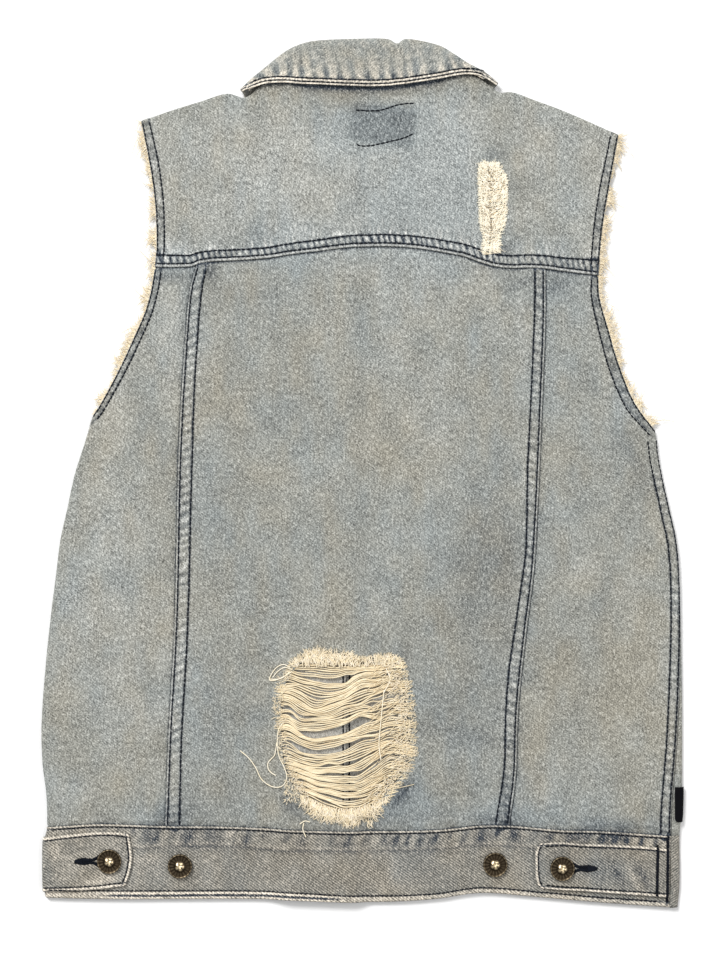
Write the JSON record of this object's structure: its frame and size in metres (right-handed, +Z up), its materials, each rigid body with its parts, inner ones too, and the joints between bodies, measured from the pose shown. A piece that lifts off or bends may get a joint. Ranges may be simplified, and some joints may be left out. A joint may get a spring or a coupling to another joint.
{
  "type": "denim vest",
  "caption": "Sleeveless denim vest laid flat with its back up: yoke, panelled back with a frayed rip, raw armholes, turned-down collar, waistband with buttoned side tabs.",
  "frame": {"origin": "middle of the vest's bounding box, on the surface that it lies on", "axes": "+X towards the right of the back as seen from above, +Y from the hem to the collar, +Z up, out of the back"},
  "size_m": [0.4638, 0.6258, 0.0107],
  "materials": {
    "denim": "washed twill",
    "denim_waistband": "washed twill",
    "brass": "antique",
    "label": "woven",
    "threads": "loose cotton"
  },
  "bodies": {
    "root": {"yoke_back": "denim", "centre_back": "denim", "side_back_left": "denim", "side_back_right": "denim", "front_left": "denim", "front_right": "denim", "collar": "denim", "waistband_back": "denim_waistband", "waistband_front_left": "denim_waistband", "waistband_front_right": "denim_waistband", "tab_left": "denim_waistband", "tab_right": "denim_waistband", "button_tab_left": "brass", "button_tab_right": "brass", "button_spare_left": "brass", "button_spare_right": "brass", "button_front_1": "brass", "button_front_2": "brass", "button_front_3": "brass", "button_front_4": "brass", "button_front_5": "brass", "button_front_6": "brass", "side_label": "label", "fringe_armhole_back_left": "threads", "fringe_armhole_back_right": "threads", "fringe_armhole_front_left": "threads", "fringe_armhole_front_right": "threads"}
  },
  "joints": []
}
